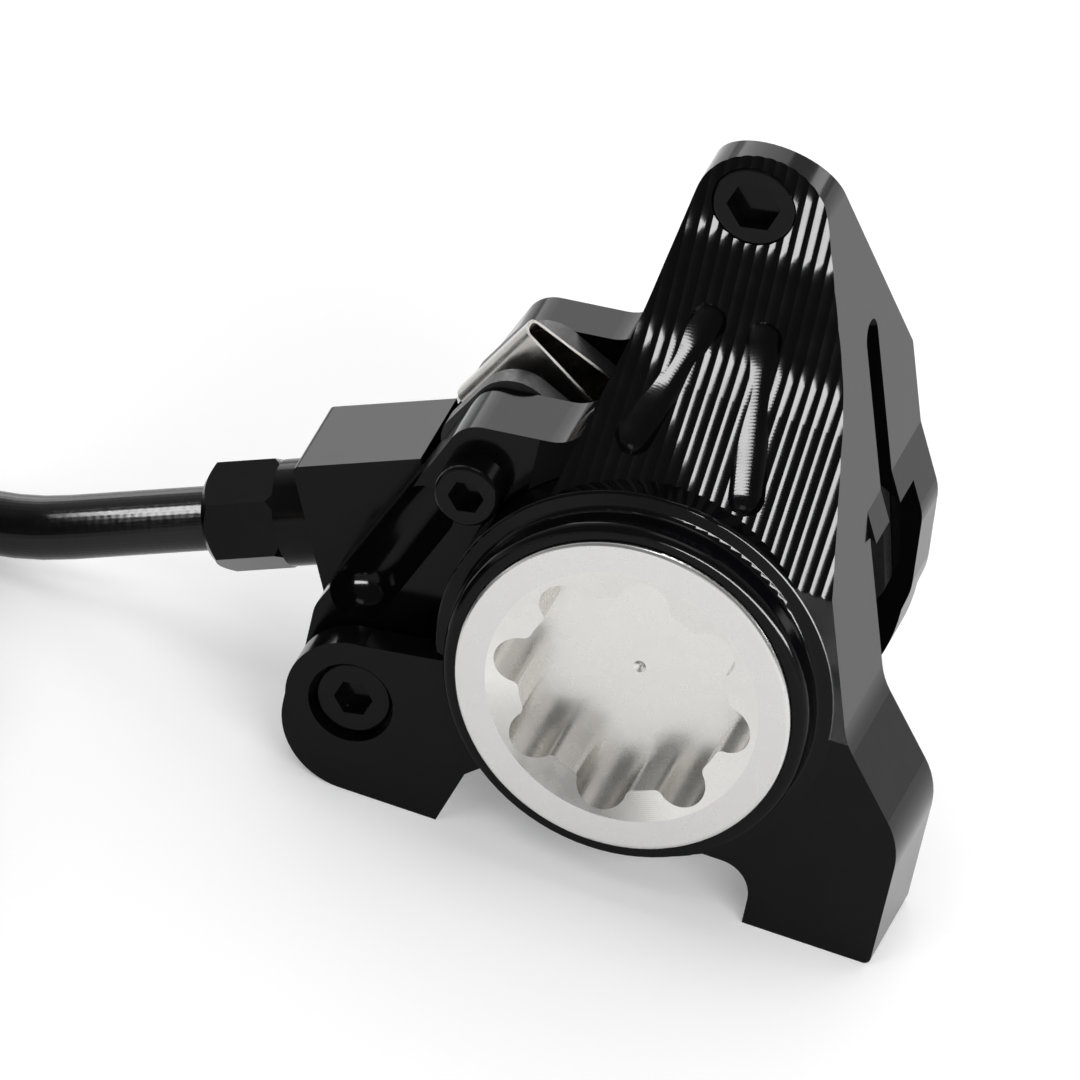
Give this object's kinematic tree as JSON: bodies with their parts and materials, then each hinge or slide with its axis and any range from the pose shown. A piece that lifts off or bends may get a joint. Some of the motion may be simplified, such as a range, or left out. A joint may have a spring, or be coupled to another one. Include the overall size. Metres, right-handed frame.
{
  "type": "bicycle disc brake",
  "caption": "Flat-mount hydraulic disc brake caliper for a bicycle: opposed pistons close two pads on a rotor, with its hose coiled beside it.",
  "frame": {"origin": "midway between the two mounting bolts, on the mounting face", "axes": "+X along the mount towards the rear of the bicycle, +Y from the outboard side into the brake along the pistons' axis, +Z away from the frame"},
  "size_m": [0.1417, 0.0848, 0.0618],
  "materials": {
    "black_anodised": "gloss black anodised, machined",
    "silver_anodised": "satin turned",
    "piston_finish": "hard anodised, satin",
    "black_steel": "black oxide, satin",
    "stainless": "bright rolled",
    "pad_steel": "black baked paint",
    "pad_lining": "pressed friction compound",
    "seal_rubber": "smooth",
    "brass": "turned brass",
    "hose_jacket": "smooth extruded nylon",
    "strap": "moulded nylon"
  },
  "bodies": {
    "caliper": {"caliper_body": "black_anodised", "bore_cap": "silver_anodised", "bore_cap_seal": "seal_rubber", "outboard_piston_seal": "seal_rubber", "inboard_piston_seal": "seal_rubber", "pad_pin": "black_steel", "pad_pin_clip": "stainless", "pad_spring": "stainless", "bleed_screw": "black_steel", "bleed_screw_seal": "seal_rubber", "transfer_port_plug": "black_steel", "transfer_port_seal": "seal_rubber", "hose_nut": "black_steel", "hose_olive": "brass", "hose_insert": "brass", "brake_hose": "hose_jacket", "hose_coil": "hose_jacket", "coil_tie": "strap", "lever_hose_nut": "black_steel", "lever_hose_olive": "brass", "lever_hose_insert": "brass"},
    "outboard_shoe": {"outboard_piston": "piston_finish", "outboard_pad_plate": "pad_steel", "outboard_pad_lining": "pad_lining"},
    "inboard_shoe": {"inboard_piston": "piston_finish", "inboard_pad_plate": "pad_steel", "inboard_pad_lining": "pad_lining"}
  },
  "joints": [
    {"name": "outboard_shoe_slide", "type": "slide", "parent": "caliper", "child": "outboard_shoe", "axis": [0, 1, 0], "range_m": [0, 0.0011], "stiffness_N_per_m": 3000, "deforming": ["pad_spring"]},
    {"name": "inboard_shoe_slide", "type": "slide", "parent": "caliper", "child": "inboard_shoe", "axis": [0, -1, 0], "range_m": [0, 0.0011], "stiffness_N_per_m": 3000, "deforming": ["pad_spring"]}
  ],
  "couplings": [
    {"joint": "inboard_shoe_slide", "follows": "outboard_shoe_slide", "ratio": 1}
  ]
}
